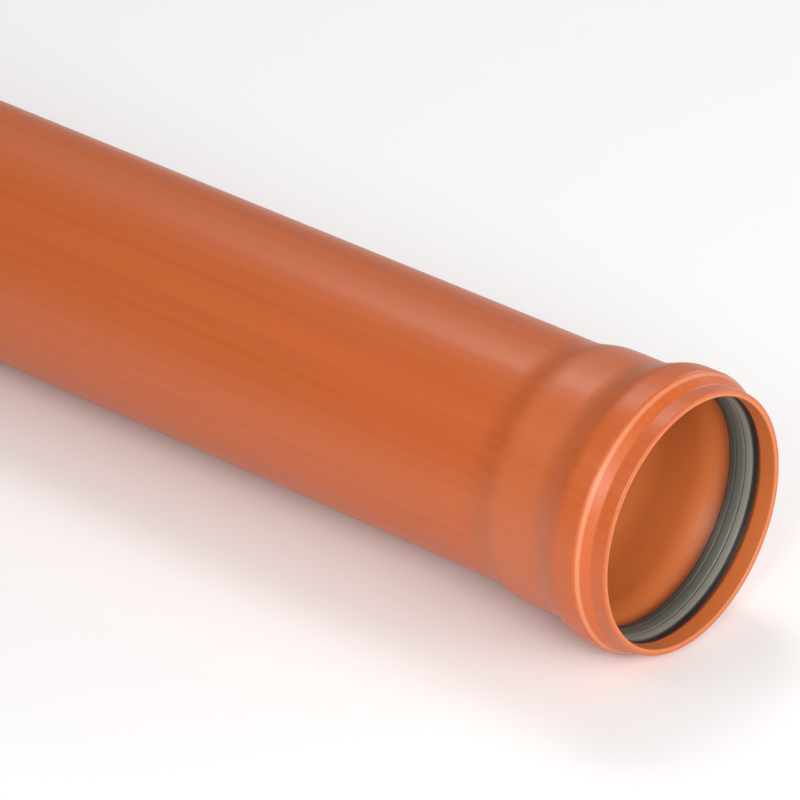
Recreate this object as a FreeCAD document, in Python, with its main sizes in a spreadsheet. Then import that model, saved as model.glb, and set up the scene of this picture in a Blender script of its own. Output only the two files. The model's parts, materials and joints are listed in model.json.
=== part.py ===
import FreeCAD, Part
import Sketcher
import os

# A solid-wall PVC-U sewer pipe of 110 mm with an integral socket, lying on a level floor.
# The tube is extruded, and its end is then heated and pressed out over a mandrel, which makes the
# shoulder, the socket, the bead round the ring groove and the lip. A rubber ring sits in the groove.
# Each piece is turned about its own X axis, from the spigot's tip at X = 0 to the mouth.

doc = FreeCAD.newDocument("sewer_pipe")

SIZES = [
    # along the axis
    ("overall_length", "1066", "spigot tip to mouth: 1 m laid, and 66 mm in the next joint"),
    ("chamfer_length", "6", "bevel round the spigot's tip"),
    ("lip_length", "7.2", "straight lip between the mouth and the bead"),
    ("front_slope", "6.3", "the bead's steep side, towards the mouth"),
    ("crest_length", "10.8", "the bead's flat top"),
    ("back_slope", "13.7", "the bead's gentle side, towards the spigot"),
    ("socket_length", "24.2", "straight socket between the bead and the shoulder"),
    ("shoulder_length", "12.3", "cone from the socket down to the tube"),
    # across the axis
    ("pipe_diameter", "110", "outside of the tube"),
    ("pipe_wall", "3.2", "wall of the tube"),
    ("chamfer_depth", "1.6", "radial size of the spigot's bevel"),
    ("spigot_clearance", "0.2", "radial gap between a spigot and the socket's bore"),
    ("socket_wall", "2.9", "wall of the socket and the lip, thinned by the belling"),
    ("lip_flare", "0.9", "how much wider in radius the lip's bore is than the socket's"),
    ("groove_depth", "5.4", "ring groove's floor from the socket's bore"),
    ("bead_wall", "2.6", "wall over the ring groove"),
    # edges
    ("mouth_round", "0.8", "radius of the mouth's edges"),
    ("lip_foot_round", "2", "radius where the lip meets the bead"),
    ("bead_front_round", "2.5", "radius of the crest's edge towards the mouth"),
    ("bead_back_round", "14", "radius of the crest's edge towards the spigot"),
    ("socket_round", "25", "radius where the bead runs out on the socket"),
    ("shoulder_round", "10", "radius at both ends of the shoulder"),
    # sealing ring
    ("ring_gap", "0.4", "space between the ring and the groove's walls"),
    ("ring_relief", "0.1", "radial step of the pressed ring behind the socket's bore"),
]

sheet = doc.addObject("Spreadsheet::Sheet", "sizes")
for row, (alias, value, meaning) in enumerate(SIZES, start=1):
    sheet.set(f"A{row}", alias)
    sheet.set(f"B{row}", value)
    sheet.set(f"C{row}", meaning)
    sheet.setAlias(f"B{row}", alias)
doc.recompute()

# Radii, each tied to the size that it fits.
PIPE_R = "(sizes.pipe_diameter / 2)"
PIPE_BORE_R = f"({PIPE_R} - sizes.pipe_wall)"
TIP_R = f"({PIPE_R} - sizes.chamfer_depth)"
SOCKET_BORE_R = f"({PIPE_R} + sizes.spigot_clearance)"
SOCKET_R = f"({SOCKET_BORE_R} + sizes.socket_wall)"
LIP_BORE_R = f"({SOCKET_BORE_R} + sizes.lip_flare)"
LIP_R = f"({LIP_BORE_R} + sizes.socket_wall)"
GROOVE_R = f"({SOCKET_BORE_R} + sizes.groove_depth)"
BEAD_R = f"({GROOVE_R} + sizes.bead_wall)"

# Stations along the outside, counted back from the mouth.
MOUTH = "sizes.overall_length"
LIP_END = f"({MOUTH} - sizes.lip_length)"
CREST_FRONT = f"({LIP_END} - sizes.front_slope)"
CREST_BACK = f"({CREST_FRONT} - sizes.crest_length)"
BEAD_END = f"({CREST_BACK} - sizes.back_slope)"
SOCKET_END = f"({BEAD_END} - sizes.socket_length)"
SHOULDER_END = f"({SOCKET_END} - sizes.shoulder_length)"


def wall_shift(wall, rise, run):
    """How far a corner of the inside lies from the outside's corner: wall x tan(half the slope)."""
    return f"({wall} * tan(atan(({rise}) / ({run})) / 2))"


FRONT_SHIFT = wall_shift("sizes.bead_wall", f"{BEAD_R} - {LIP_R}", "sizes.front_slope")
BACK_SHIFT = wall_shift("sizes.bead_wall", f"{BEAD_R} - {SOCKET_R}", "sizes.back_slope")
SHOULDER_SHIFT = wall_shift("sizes.socket_wall", f"{SOCKET_R} - {PIPE_R}", "sizes.shoulder_length")

# Stations along the inside.
LIP_BORE_END = f"({LIP_END} - {FRONT_SHIFT})"
GROOVE_FRONT = f"({CREST_FRONT} - {FRONT_SHIFT})"
GROOVE_BACK = f"({CREST_BACK} + {BACK_SHIFT})"
GROOVE_END = f"({BEAD_END} + {BACK_SHIFT})"
SOCKET_BORE_END = f"({SOCKET_END} + {SHOULDER_SHIFT})"
PIPE_BORE_END = f"({SHOULDER_END} + {SHOULDER_SHIFT})"

# Lying on the floor, the pipe bears on the bead and on the spigot, so its axis rises to the mouth.
LEAN = f"atan(({BEAD_R} - {PIPE_R}) / ({CREST_BACK} - sizes.chamfer_length))"


def turned_body(label, corners):
    """A body turned about its X axis from a closed section, given as (station, radius) corners."""
    body = doc.addObject("PartDesign::Body", label)
    body.Label = label
    plane = next(f for f in body.Origin.OriginFeatures if f.Role == "XZ_Plane")
    section = body.newObject("Sketcher::SketchObject", f"{label}_section")
    section.AttachmentSupport = [(plane, "")]
    section.MapMode = "FlatFace"
    points = [FreeCAD.Vector(float(sheet.evalExpression(x)), float(sheet.evalExpression(r)), 0)
              for x, r in corners]
    for i, point in enumerate(points):
        section.addGeometry(Part.LineSegment(point, points[(i + 1) % len(points)]), False)
    for i, (x, r) in enumerate(corners):
        section.addConstraint(Sketcher.Constraint("Coincident", i, 2, (i + 1) % len(points), 1))
        if x == "0":
            section.addConstraint(Sketcher.Constraint("PointOnObject", i, 1, -2))
        else:
            place = section.addConstraint(Sketcher.Constraint("DistanceX", -1, 1, i, 1, points[i].x))
            section.setExpression(f"Constraints[{place}]", x)
        radius = section.addConstraint(Sketcher.Constraint("DistanceY", -1, 1, i, 1, points[i].y))
        section.setExpression(f"Constraints[{radius}]", r)
    turn = body.newObject("PartDesign::Revolution", f"{label}_turn")
    turn.Profile = section
    turn.ReferenceAxis = (section, ["H_Axis"])
    turn.Angle = 360
    body.Tip = turn
    doc.recompute()
    return body


def round_edges(body, name, size, corners):
    """Round the circular edges at these corners to the radius that size works out to."""
    base = body.Tip
    edges = []
    for x, r in corners:
        station = float(sheet.evalExpression(x))
        radius = float(sheet.evalExpression(r))
        for number, edge in enumerate(base.Shape.Edges, start=1):
            if not isinstance(edge.Curve, Part.Circle):
                continue
            centre = edge.Curve.Center
            if abs(centre.x - station) < 0.001 and abs(edge.Curve.Radius - radius) < 0.001:
                edges.append(f"Edge{number}")
    fillet = body.newObject("PartDesign::Fillet", name)
    fillet.Base = (base, edges)
    fillet.setExpression("Radius", size)
    body.Tip = fillet
    doc.recompute()


def lay_down(body):
    """Lean the body by the angle at which the pipe rests, over the middle of the floor."""
    body.Placement = FreeCAD.Placement(FreeCAD.Vector(0, 0, 1), FreeCAD.Rotation(FreeCAD.Vector(0, -1, 0), 1))
    body.setExpression("Placement.Rotation.Angle", LEAN)
    body.setExpression("Placement.Base.x", f"-{MOUTH} / 2 * cos({LEAN})")
    body.setExpression("Placement.Base.z", f"{PIPE_R} * cos({LEAN}) - sizes.chamfer_length * sin({LEAN})")


# The pipe, one extruded and belled piece of PVC-U.
pipe = turned_body("pipe", [
    ("0", TIP_R),
    ("sizes.chamfer_length", PIPE_R),
    (SHOULDER_END, PIPE_R),
    (SOCKET_END, SOCKET_R),
    (BEAD_END, SOCKET_R),
    (CREST_BACK, BEAD_R),
    (CREST_FRONT, BEAD_R),
    (LIP_END, LIP_R),
    (MOUTH, LIP_R),
    (MOUTH, LIP_BORE_R),
    (LIP_BORE_END, LIP_BORE_R),
    (GROOVE_FRONT, GROOVE_R),
    (GROOVE_BACK, GROOVE_R),
    (GROOVE_END, SOCKET_BORE_R),
    (SOCKET_BORE_END, SOCKET_BORE_R),
    (PIPE_BORE_END, PIPE_BORE_R),
    ("0", PIPE_BORE_R),
])
round_edges(pipe, "shoulder_rounds", "sizes.shoulder_round", [
    (SHOULDER_END, PIPE_R),
    (SOCKET_END, SOCKET_R),
    (SOCKET_BORE_END, SOCKET_BORE_R),
    (PIPE_BORE_END, PIPE_BORE_R),
])
round_edges(pipe, "bead_round", "sizes.bead_back_round", [(CREST_BACK, BEAD_R)])
round_edges(pipe, "groove_round", "sizes.bead_back_round - sizes.bead_wall", [(GROOVE_BACK, GROOVE_R)])
round_edges(pipe, "socket_rounds", "sizes.socket_round", [(BEAD_END, SOCKET_R), (GROOVE_END, SOCKET_BORE_R)])
round_edges(pipe, "crest_rounds", "sizes.bead_front_round", [(CREST_FRONT, BEAD_R), (GROOVE_FRONT, GROOVE_R)])
round_edges(pipe, "lip_rounds", "sizes.lip_foot_round", [(LIP_END, LIP_R), (LIP_BORE_END, LIP_BORE_R)])
round_edges(pipe, "mouth_rounds", "sizes.mouth_round", [(MOUTH, LIP_R), (MOUTH, LIP_BORE_R)])
lay_down(pipe)

# The sealing ring, moulded rubber, in the shape that a fitted spigot presses it to.
RING_FRONT = f"({LIP_BORE_END} - sizes.ring_gap)"
RING_BACK = f"({GROOVE_BACK} + sizes.ring_gap)"
RING_R = f"({GROOVE_R} - sizes.ring_gap)"
RING_BORE_R = f"({SOCKET_BORE_R} + sizes.ring_relief)"
sealing_ring = turned_body("sealing_ring", [
    (RING_BACK, RING_BORE_R),
    (RING_BACK, RING_R),
    (f"({GROOVE_FRONT} - sizes.ring_gap)", RING_R),
    (RING_FRONT, f"({LIP_BORE_R} - sizes.ring_gap)"),
    (RING_FRONT, RING_BORE_R),
])
lay_down(sealing_ring)
doc.recompute()

for item in doc.Objects:
    if "Invalid" in item.State or "Error" in item.State:
        raise RuntimeError(f"{item.Name} did not build: {item.State}")

os.makedirs("parts", exist_ok=True)
for body in (pipe, sealing_ring):
    if body.Shape.isNull() or not body.Shape.isValid():
        raise RuntimeError(f"{body.Label} has no valid shape")
    body.Shape.exportStep(f"parts/{body.Label}.step")
    print(body.Label, round(body.Shape.Volume / 1000, 2), "cm3", body.Shape.BoundBox)
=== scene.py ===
import json
import math
import bpy
import numpy as np
from mathutils import Matrix, Vector


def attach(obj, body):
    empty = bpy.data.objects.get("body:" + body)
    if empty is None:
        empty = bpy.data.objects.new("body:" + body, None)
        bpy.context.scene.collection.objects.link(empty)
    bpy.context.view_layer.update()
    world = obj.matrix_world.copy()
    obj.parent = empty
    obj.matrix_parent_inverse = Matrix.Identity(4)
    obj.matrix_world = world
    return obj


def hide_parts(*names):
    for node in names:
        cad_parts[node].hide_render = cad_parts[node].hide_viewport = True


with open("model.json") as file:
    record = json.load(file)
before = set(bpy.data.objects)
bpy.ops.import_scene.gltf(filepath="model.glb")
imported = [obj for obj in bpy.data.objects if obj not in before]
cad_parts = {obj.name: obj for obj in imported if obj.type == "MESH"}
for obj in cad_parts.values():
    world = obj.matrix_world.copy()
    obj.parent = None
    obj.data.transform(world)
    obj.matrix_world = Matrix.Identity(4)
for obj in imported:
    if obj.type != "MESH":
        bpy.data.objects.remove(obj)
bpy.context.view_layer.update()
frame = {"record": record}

mounts = {m["name"]: m for m in frame["record"]["mounts"]}

# ---------------------------------------------------------------------------------------------
# Camera. It looks down on the socket from the mouth's side, with the barrel running away to the
# left, far enough off for the long pipe to keep its proportions.
# ---------------------------------------------------------------------------------------------
axis = Vector(mounts["socket"]["axis"]).normalized()
barrel_length = mounts["flow_bore"]["dims"]["length_mm"] / 1000
tip = Vector(mounts["flow_bore"]["pos_m"]) - axis * (barrel_length / 2)
pipe_length = 1.066
mouth = tip + axis * pipe_length

camera_azimuth = math.radians(49.06)     # from the pipe's own line, on the -Y side
camera_elevation = math.radians(29.96)
mouth_in_view = Vector((0.12252, -0.05177, -2.45977))    # the mouth's centre in the camera's axes
to_camera = Vector((math.cos(camera_azimuth) * math.cos(camera_elevation),
                    -math.sin(camera_azimuth) * math.cos(camera_elevation),
                    math.sin(camera_elevation)))
camera_right = Vector((math.sin(camera_azimuth), math.cos(camera_azimuth), 0))
camera_up = to_camera.cross(camera_right)
turn = Matrix((camera_right, camera_up, to_camera)).transposed()
camera_data = bpy.data.cameras.new("camera")
camera_data.sensor_width = 36
camera_data.lens = 264.7
camera_data.clip_end = 50
camera = bpy.data.objects.new("camera", camera_data)
camera.matrix_world = Matrix.Translation(mouth - turn @ mouth_in_view) @ turn.to_4x4()
bpy.context.scene.collection.objects.link(camera)
bpy.context.scene.camera = camera


# ---------------------------------------------------------------------------------------------
# Pipe: PVC-U, extruded as a plain tube, then one end heated and pressed out over a mandrel into
# the shoulder, the socket, the ring groove's bead and the lip. One piece with the CAD pipe's sizes.
# ---------------------------------------------------------------------------------------------
barrel_r = mounts["spigot"]["dims"]["r_mm"] / 1000
barrel_bore_r = mounts["flow_bore"]["dims"]["r_mm"] / 1000
socket_bore_r = mounts["socket"]["dims"]["r_mm"] / 1000
chamfer_length, chamfer_depth = 0.006, 0.0016
lip_length, front_slope, crest_length = 0.0072, 0.0063, 0.0108
back_slope, socket_length, shoulder_length = 0.0137, 0.0242, 0.0123
socket_wall, lip_flare, groove_depth, bead_wall = 0.0029, 0.0009, 0.0054, 0.0026
socket_r = socket_bore_r + socket_wall
lip_bore_r = socket_bore_r + lip_flare
lip_r = lip_bore_r + socket_wall
groove_r = socket_bore_r + groove_depth
bead_r = groove_r + bead_wall

lip_end = pipe_length - lip_length
crest_front = lip_end - front_slope
crest_back = crest_front - crest_length
bead_end = crest_back - back_slope
socket_end = bead_end - socket_length
shoulder_end = socket_end - shoulder_length


def wall_shift(wall, rise, run):
    """The inside's corner lies the wall times the tangent of half the slope from the outside's."""
    return wall * math.tan(math.atan2(rise, run) / 2)


front_shift = wall_shift(bead_wall, bead_r - lip_r, front_slope)
back_shift = wall_shift(bead_wall, bead_r - socket_r, back_slope)
shoulder_shift = wall_shift(socket_wall, socket_r - barrel_r, shoulder_length)


def rounded(corners, arc_points):
    """A closed section from (station, radius, round) corners. Each corner becomes an arc tangent to
    its two sides: it starts and ends a distance of round x tan(half the turn) from the corner, and
    its points lie at even angles about the centre."""
    points = []
    for i, (x, r, size) in enumerate(corners):
        here = np.array([x, r])
        before = np.array(corners[i - 1][:2]) - here
        after = np.array(corners[(i + 1) % len(corners)][:2]) - here
        before, after = before / np.linalg.norm(before), after / np.linalg.norm(after)
        half_turn = (math.pi - math.acos(np.clip(before @ after, -1, 1))) / 2
        inward = before + after
        centre = here + inward / np.linalg.norm(inward) * size / math.cos(half_turn)
        side = -(inward / np.linalg.norm(inward))
        across = before - (before @ side) * side
        across /= np.linalg.norm(across)
        angle = np.linspace(half_turn, -half_turn, arc_points)[:, None]
        points.append(centre + size * (np.cos(angle) * side + np.sin(angle) * across))
    return np.vstack(points)


def turned(name, section, around=256):
    """A closed (station, radius) section turned about the pipe's axis. The point at station x and
    radius r, at angle t, lies at the tip + x along the axis + r (cos t up + sin t across)."""
    x, r = section[:, 0][:, None], section[:, 1][:, None]
    t = np.linspace(0, 2 * math.pi, around, endpoint=False)[None]
    along, up = np.array(axis), np.array(Vector((-axis.z, 0, axis.x)))
    across = np.cross(along, up)
    points = (np.array(tip) + x[..., None] * along
              + (r * np.cos(t))[..., None] * up + (r * np.sin(t))[..., None] * across)
    rows, columns = np.meshgrid(np.arange(len(section)), np.arange(around), indexing="ij")
    next_row, next_column = (rows + 1) % len(section), (columns + 1) % around
    faces = np.stack([rows * around + columns, rows * around + next_column,
                      next_row * around + next_column, next_row * around + columns], -1).reshape(-1, 4)
    mesh = bpy.data.meshes.new(name)
    mesh.from_pydata(points.reshape(-1, 3), [], faces)
    mesh.shade_smooth()
    mesh.validate()
    piece = bpy.data.objects.new(name, mesh)
    bpy.context.scene.collection.objects.link(piece)
    return piece


# Corners from the spigot's tip along the outside to the mouth, then back along the inside.
arc_points = 9
outside_corners = 9
pipe_section = rounded([
    (0, barrel_r - chamfer_depth, 0.0002),
    (chamfer_length, barrel_r, 0.0004),
    (shoulder_end, barrel_r, 0.040),
    (socket_end, socket_r, 0.040),
    (bead_end, socket_r, 0.025),
    (crest_back, bead_r, 0.014),
    (crest_front, bead_r, 0.0025),
    (lip_end, lip_r, 0.002),
    (pipe_length, lip_r, 0.0008),
    (pipe_length, lip_bore_r, 0.0008),
    (lip_end - front_shift, lip_bore_r, 0.002),
    (crest_front - front_shift, groove_r, 0.0025),
    (crest_back + back_shift, groove_r, 0.014 - bead_wall),
    (bead_end + back_shift, socket_bore_r, 0.025),
    (socket_end + shoulder_shift, socket_bore_r, 0.040),
    (shoulder_end + shoulder_shift, barrel_bore_r, 0.040),
    (0, barrel_bore_r, 0.0002),
], arc_points)
pipe = turned("sewer_pipe", pipe_section)
inner = (np.arange(len(pipe_section)) >= outside_corners * arc_points).astype(np.float32)
bore_mark = pipe.data.attributes.new("bore", "FLOAT", "POINT")
bore_mark.data.foreach_set("value", np.repeat(inner, len(pipe.data.vertices) // len(inner)))


def linear(colour):
    """An sRGB hex colour as linear red, green, blue and an alpha of 1."""
    parts = [int(colour[i:i + 2], 16) / 255 for i in (1, 3, 5)]
    return [p / 12.92 if p <= 0.04045 else ((p + 0.055) / 1.055) ** 2.4 for p in parts] + [1.0]


def node(tree, kind, settings=None, links=None, **values):
    """A node of this kind with its settings, its sockets' values, and links from other nodes' outputs."""
    made = tree.nodes.new(kind)
    for key, value in (settings or {}).items():
        setattr(made, key, value)
    for key, value in values.items():
        made.inputs[key.replace("_", " ")].default_value = value
    for key, value in (links or {}).items():
        tree.links.new(value, made.inputs[key])
    return made


# PVC-U straight off the extruder: orange-brown, with a soft gloss. Draw lines 3 mm and 0.7 mm wide
# run lengthwise over a slow waviness of 25 mm and a grain of 1.1 mm. A painted sheen makes the socket's
# straight part paler in patches, painted light makes the bore a little paler all over, and a painted
# highlight runs as a pale line round the bead's front.
pvc = bpy.data.materials.new("extruded_pvc_u")
pvc.use_nodes = True
tree = pvc.node_tree
shader = tree.nodes["Principled BSDF"]
lean = math.asin(axis.z)
place = node(tree, "ShaderNodeTexCoord").outputs["Object"]
place = node(tree, "ShaderNodeMapping", {"vector_type": "POINT"}, {"Vector": place},
             Rotation=(0, lean, 0)).outputs["Vector"]
stretched = node(tree, "ShaderNodeMapping", {}, {"Vector": place},
                 Scale=(1000 / 250, 1000 / 3, 1000 / 3)).outputs["Vector"]
draw_lines = node(tree, "ShaderNodeTexNoise", {}, {"Vector": stretched}, Scale=1, Detail=3,
                  Roughness=0.6).outputs["Fac"]
waves = node(tree, "ShaderNodeMapping", {}, {"Vector": place},
             Scale=(1000 / 110, 1000 / 25, 1000 / 25)).outputs["Vector"]
waves = node(tree, "ShaderNodeTexNoise", {}, {"Vector": waves}, Scale=1, Detail=2).outputs["Fac"]
grain = node(tree, "ShaderNodeTexNoise", {}, {"Vector": place}, Scale=1000 / 1.1, Detail=2).outputs["Fac"]
body_colour = node(tree, "ShaderNodeMix", {"data_type": "RGBA"}, {0: draw_lines})
body_colour.inputs[6].default_value = linear("#B64F13")
body_colour.inputs[7].default_value = linear("#CB6120")
depth = node(tree, "ShaderNodeSeparateXYZ", {}, {"Vector": place}).outputs["X"]
depth = node(tree, "ShaderNodeMath", {"operation": "SUBTRACT"}, {1: depth})
depth.inputs[0].default_value = mouth.dot(axis)
# The painted sheen's paler patches on the socket start behind the bead and end at the shoulder.
formed = node(tree, "ShaderNodeMapRange", {"interpolation_type": "SMOOTHSTEP"}, {"Value": depth.outputs[0]},
              From_Min=0.060, From_Max=0.066, To_Min=0.7, To_Max=0).outputs["Result"]
behind_bead = node(tree, "ShaderNodeMapRange", {"interpolation_type": "SMOOTHSTEP"},
                   {"Value": depth.outputs[0]}, From_Min=0.023, From_Max=0.034).outputs["Result"]
formed = node(tree, "ShaderNodeMath", {"operation": "MULTIPLY"}, {0: formed, 1: behind_bead}).outputs[0]
painted_sheen = node(tree, "ShaderNodeMath", {"operation": "MULTIPLY"}, {0: formed, 1: waves}).outputs[0]
# Painted sheen: the socket's patches take a paler, whitish colour in place of a reflection.
socket_sheen_colour = node(tree, "ShaderNodeMix", {"data_type": "RGBA"}, {0: painted_sheen, 6: body_colour.outputs[2]})
socket_sheen_colour.inputs[7].default_value = linear("#C66F47")
bore = node(tree, "ShaderNodeAttribute", {"attribute_name": "bore"}).outputs["Fac"]
# Painted light: the whole bore takes a paler colour, in place of light that reaches the inside.
bore_painted_light = node(tree, "ShaderNodeMix", {"data_type": "RGBA"}, {0: bore, 6: socket_sheen_colour.outputs[2]})
bore_painted_light.inputs[7].default_value = linear("#CB7038")
# The painted highlight, a pale line round the bead's front corner: its depth behind the mouth, and how far it
# reaches to each side.
line_depth, line_reach = 0.0118, 0.0011
away = node(tree, "ShaderNodeMath", {"operation": "SUBTRACT"}, {0: depth.outputs[0]})
away.inputs[1].default_value = line_depth
away = node(tree, "ShaderNodeMath", {"operation": "ABSOLUTE"}, {0: away.outputs[0]})
pale = node(tree, "ShaderNodeMapRange", {"interpolation_type": "SMOOTHSTEP"}, {"Value": away.outputs[0]},
            From_Min=line_reach * 0.4, From_Max=line_reach, To_Min=0.4, To_Max=0).outputs["Result"]
# Painted highlight: the pale colour stands in for a glint on the bead's rounded front corner.
painted_glint_colour = node(tree, "ShaderNodeMix", {"data_type": "RGBA"}, {0: pale, 6: bore_painted_light.outputs[2]})
painted_glint_colour.inputs[7].default_value = linear("#E9A27C")
tree.links.new(painted_glint_colour.outputs[2], shader.inputs["Base Color"])
dullness = node(tree, "ShaderNodeMapRange", {}, {"Value": waves}, From_Min=0.3, From_Max=0.7,
                To_Min=0.46, To_Max=0.54)
tree.links.new(dullness.outputs["Result"], shader.inputs["Roughness"])
fine = node(tree, "ShaderNodeMapping", {}, {"Vector": place},
            Scale=(1000 / 100, 1000 / 0.7, 1000 / 0.7)).outputs["Vector"]
fine_lines = node(tree, "ShaderNodeTexNoise", {}, {"Vector": fine}, Scale=1, Detail=2).outputs["Fac"]
height = node(tree, "ShaderNodeMath", {"operation": "MULTIPLY_ADD"}, {0: fine_lines, 2: draw_lines})
height.inputs[1].default_value = 0.35
height = node(tree, "ShaderNodeMath", {"operation": "MULTIPLY_ADD"}, {0: grain, 2: height.outputs[0]})
height.inputs[1].default_value = 0.3
relief = node(tree, "ShaderNodeBump", {}, {"Height": height.outputs[0]}, Strength=0.6, Distance=0.00006)
tree.links.new(relief.outputs["Normal"], shader.inputs["Normal"])
shader.inputs["IOR"].default_value = 1.53
shader.inputs["Coat Weight"].default_value = 0.25
shader.inputs["Coat Roughness"].default_value = 0.28
pipe.data.materials.append(pvc)
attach(pipe, "root")
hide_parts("pipe")

# ---------------------------------------------------------------------------------------------
# Sealing ring: one moulding of grey-black rubber, pressed into the bead's groove from the mouth. A
# rounded nose fills the groove's front, and a free lip with a fine notch leans inward and back.
# ---------------------------------------------------------------------------------------------
# Corners in millimetres: depth behind the mouth, radius, round.
ring_section = rounded([(pipe_length - depth / 1000, r / 1000, size / 1000) for depth, r, size in (
    (10.2, 58.6, 0.4),
    (10.2, 57.2, 0.5),
    (11.7, 56.9, 0.2),
    (12.1, 55.8, 0.8),
    (15.3, 55.3, 0.9),
    (15.9, 55.9, 0.25),
    (16.4, 55.3, 0.4),
    (19.6, 54.5, 0.7),
    (20.0, 54.7, 0.12),
    (20.4, 54.2, 0.25),
    (22.6, 53.3, 0.5),
    (23.1, 54.4, 0.5),
    (18.6, 56.6, 0.6),
    (19.2, 57.4, 0.5),
    (22.8, 57.6, 0.5),
    (22.8, 58.9, 0.5),
    (20.5, 60.1, 0.6),
    (14.0, 60.1, 0.8),
)], arc_points=5)
ring = turned("rubber_sealing_ring", ring_section)

# Moulded rubber: satin, with a mould grain of 1.7 mm. Its grey colour carries painted light and shade by
# depth: a painted shadow makes its front edge near black, a painted highlight makes its nose a paler grey,
# and painted shade darkens its lip towards the tip.
rubber = bpy.data.materials.new("moulded_rubber")
rubber.use_nodes = True
tree = rubber.node_tree
shader = tree.nodes["Principled BSDF"]
place = node(tree, "ShaderNodeTexCoord").outputs["Object"]
place = node(tree, "ShaderNodeMapping", {"vector_type": "POINT"}, {"Vector": place},
             Rotation=(0, lean, 0)).outputs["Vector"]
depth = node(tree, "ShaderNodeSeparateXYZ", {}, {"Vector": place}).outputs["X"]
depth = node(tree, "ShaderNodeMath", {"operation": "SUBTRACT"}, {1: depth})
depth.inputs[0].default_value = mouth.dot(axis)
along_ring = node(tree, "ShaderNodeMapRange", {}, {"Value": depth.outputs[0]}, From_Min=0.008, From_Max=0.024)
shade = node(tree, "ShaderNodeValToRGB", {}, {"Fac": along_ring.outputs["Result"]})
steps = shade.color_ramp.elements
# Painted shadow on the front edge, painted highlight on the nose, painted shade towards the lip's tip.
steps[0].position, steps[0].color = 0.24, linear("#1F1D1B")
steps[1].position, steps[1].color = 0.78, linear("#3B382F")
for place_on_ring, colour in ((0.28, "#85867B"), (0.45, "#7A7C72"), (0.53, "#5C6058"), (0.72, "#4E5149")):
    steps.new(place_on_ring).color = linear(colour)
grain = node(tree, "ShaderNodeTexNoise", {}, {"Vector": place}, Scale=1000 / 1.7, Detail=3).outputs["Fac"]
tree.links.new(shade.outputs["Color"], shader.inputs["Base Color"])
relief = node(tree, "ShaderNodeBump", {}, {"Height": grain}, Strength=0.4, Distance=0.00005)
tree.links.new(relief.outputs["Normal"], shader.inputs["Normal"])
shader.inputs["Roughness"].default_value = 0.48
ring.data.materials.append(rubber)
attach(ring, "root")
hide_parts("sealing_ring")

# ---------------------------------------------------------------------------------------------
# Studio: a wide floor of matt white paper, an even white surround, and eight soft lights that
# stand in a ring about the mouth and face it.
# ---------------------------------------------------------------------------------------------
floor_mesh = bpy.data.meshes.new("floor")
half_floor = 20
floor_mesh.from_pydata([(-half_floor, -half_floor, 0), (half_floor, -half_floor, 0),
                        (half_floor, half_floor, 0), (-half_floor, half_floor, 0)], [], [(0, 1, 2, 3)])
floor = bpy.data.objects.new("floor", floor_mesh)
bpy.context.scene.collection.objects.link(floor)

# White paper: matt all over, so it shows soft shadows and no reflection.
white = bpy.data.materials.new("white_paper")
white.use_nodes = True
shader = white.node_tree.nodes["Principled BSDF"]
shader.inputs["Base Color"].default_value = linear("#FCFCFC")
shader.inputs["Roughness"].default_value = 1
shader.inputs["Specular IOR Level"].default_value = 0
floor.data.materials.append(white)

world = bpy.data.worlds.new("studio")
bpy.context.scene.world = world
world.use_nodes = True
world.node_tree.nodes["Background"].inputs["Color"].default_value = (1, 1, 1, 1)
world.node_tree.nodes["Background"].inputs["Strength"].default_value = 0.24


light_distance = 2.2


def soft_light(name, azimuth, elevation, side, power):
    """An area light that faces the mouth, from this azimuth about it (0 is +X) and elevation."""
    az, el = math.radians(azimuth), math.radians(elevation)
    towards = Vector((math.cos(az) * math.cos(el), math.sin(az) * math.cos(el), math.sin(el)))
    place = mouth + light_distance * towards
    lamp = bpy.data.lights.new(name, "AREA")
    lamp.shape = "RECTANGLE"
    lamp.size, lamp.size_y, lamp.energy = side, side, power
    holder = bpy.data.objects.new(name, lamp)
    holder.rotation_euler = (mouth - place).to_track_quat("-Z", "Y").to_euler()
    holder.location = place
    bpy.context.scene.collection.objects.link(holder)


soft_light("key_light", -66, 31, 0.5, 10)
soft_light("camera_light", -40, 28, 0.8, 18)
soft_light("front_light", -22, 28, 0.8, 14)
soft_light("mouth_light", 0, 30, 0.8, 12)
soft_light("low_light", 50, 8, 0.8, 9)
soft_light("side_light", -118, 45, 1.0, 4)
soft_light("top_light", 142, 56, 0.8, 11)
soft_light("rim_light", 105, 20, 0.8, 7)

bpy.context.scene.view_settings.view_transform = "Standard"
